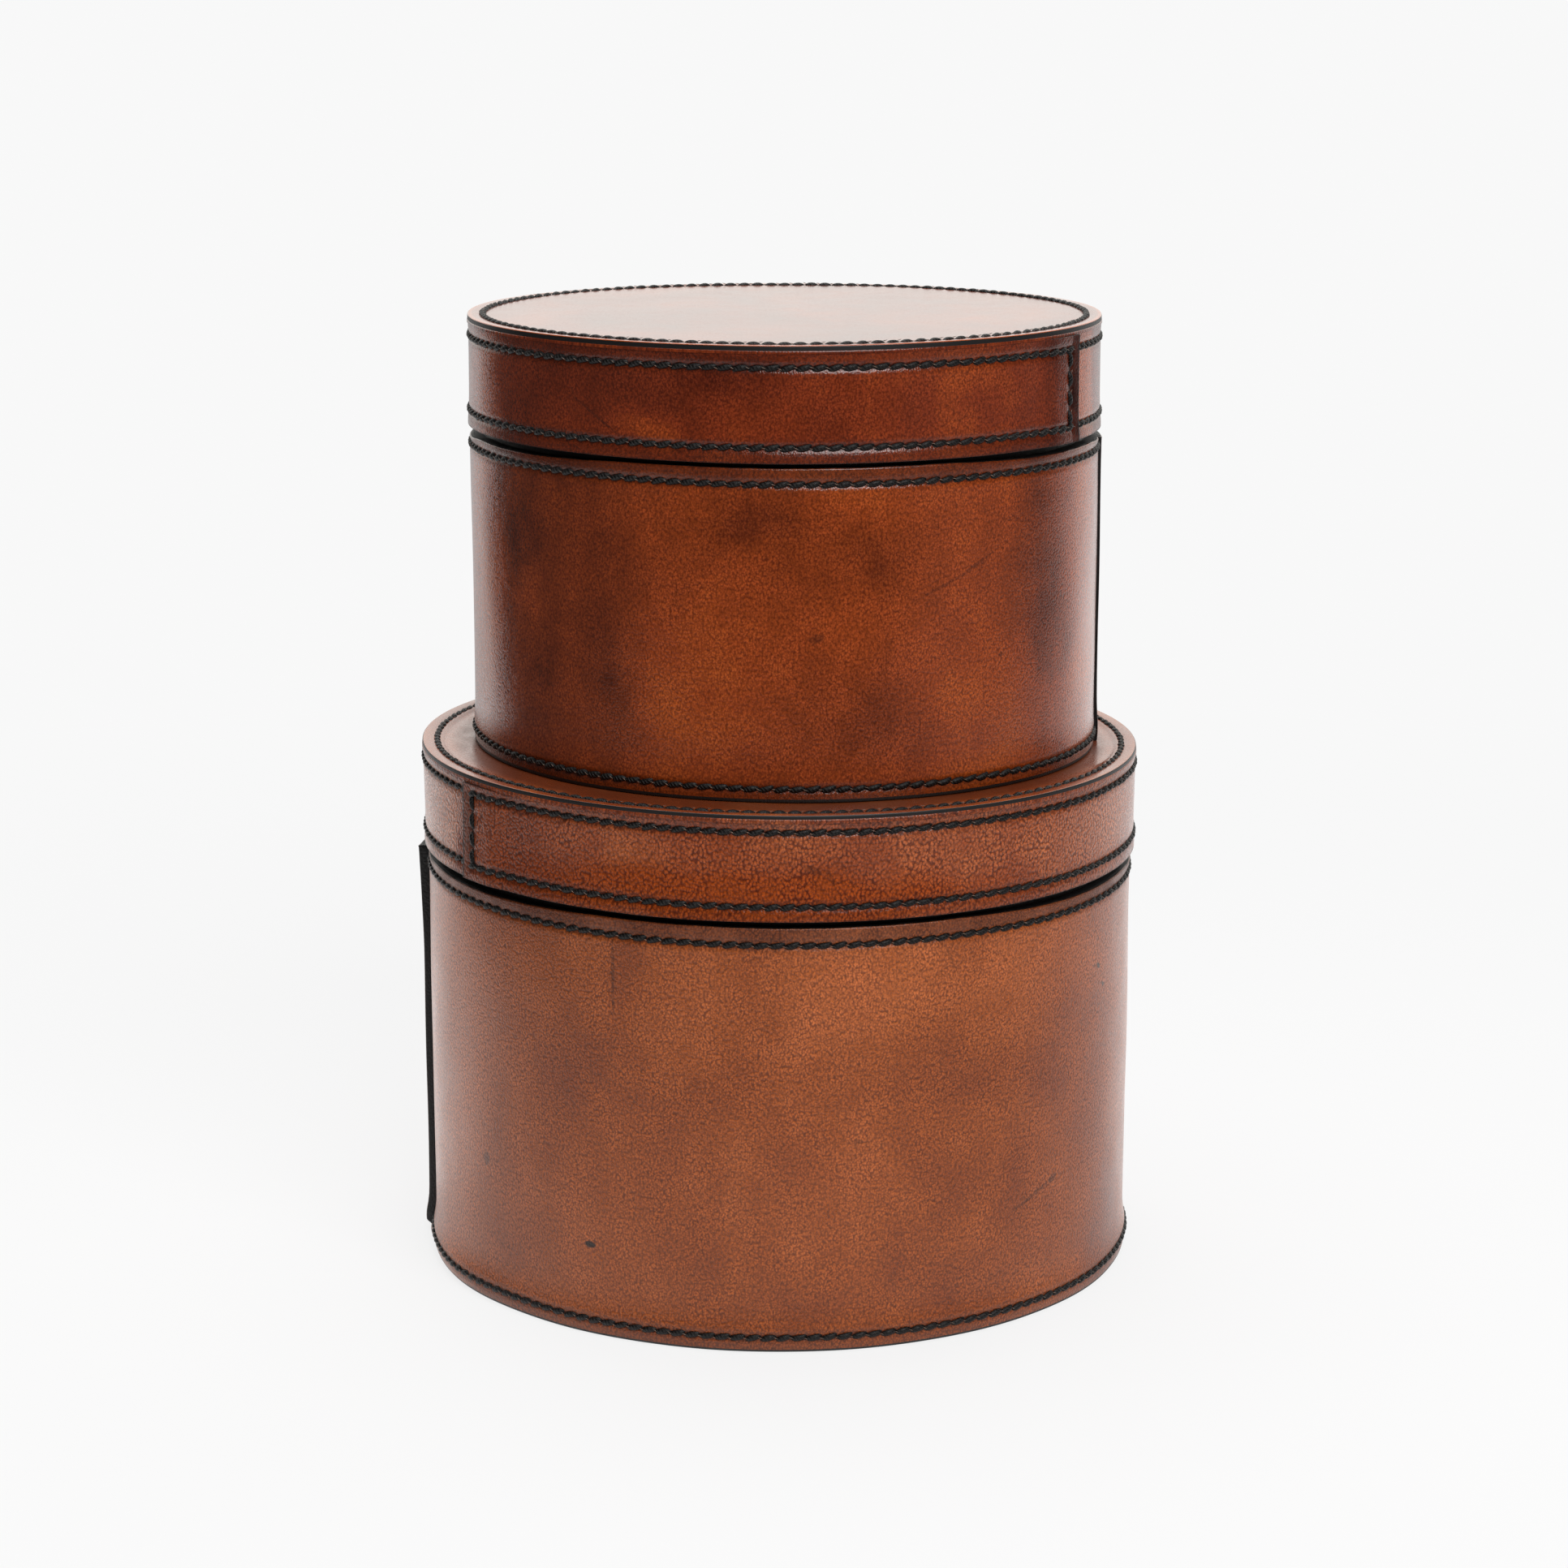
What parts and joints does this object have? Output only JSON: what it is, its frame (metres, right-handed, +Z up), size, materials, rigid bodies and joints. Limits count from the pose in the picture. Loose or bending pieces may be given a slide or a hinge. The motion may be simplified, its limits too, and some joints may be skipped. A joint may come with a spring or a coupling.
{
  "type": "collar box",
  "caption": "Stacked round hand-stitched leather collar boxes that nest, each with a lift-off lid that slides down over a lined inner collar.",
  "frame": {"origin": "centre of the large box's underside, on the surface that it stands on", "axes": "+Z up, along the axes of both boxes; the pictured front faces -Y; +X to the right"},
  "size_m": [0.181, 0.18, 0.2381],
  "materials": {
    "saddle_leather": "hand-dyed cognac saddle leather, waxed and polished, with black painted edges",
    "lid_leather": "hand-dyed cognac saddle leather, waxed and polished, with black painted edges",
    "collar_leather": "smooth dark brown leather",
    "suede_lining": "tan suede",
    "grey_board": "raw grey board",
    "waxed_thread": "black waxed twisted thread"
  },
  "bodies": {
    "large_body": {"large_base_leather": "saddle_leather", "large_base_board": "grey_board", "large_base_lining": "suede_lining", "large_wall_leather": "saddle_leather", "large_collar_leather": "collar_leather", "large_collar_lining": "suede_lining"},
    "large_lid": {"large_lid_top_leather": "lid_leather", "large_lid_top_board": "grey_board", "large_lid_top_lining": "suede_lining", "large_lid_band_leather": "lid_leather"},
    "small_body": {"small_base_leather": "saddle_leather", "small_base_board": "grey_board", "small_base_lining": "suede_lining", "small_wall_leather": "saddle_leather", "small_collar_leather": "collar_leather", "small_collar_lining": "suede_lining"},
    "small_lid": {"small_lid_top_leather": "lid_leather", "small_lid_top_board": "grey_board", "small_lid_top_lining": "suede_lining", "small_lid_band_leather": "lid_leather"}
  },
  "joints": [
    {"name": "large_lid_lift", "type": "slide", "parent": "large_body", "child": "large_lid", "axis": [0, 0, 1], "range_m": [0, 0.06]},
    {"name": "small_box_lift", "type": "slide", "parent": "large_lid", "child": "small_body", "axis": [0, 0, 1], "range_m": [0, 0.04]},
    {"name": "small_lid_lift", "type": "slide", "parent": "small_body", "child": "small_lid", "axis": [0, 0, 1], "range_m": [0, 0.06]}
  ]
}
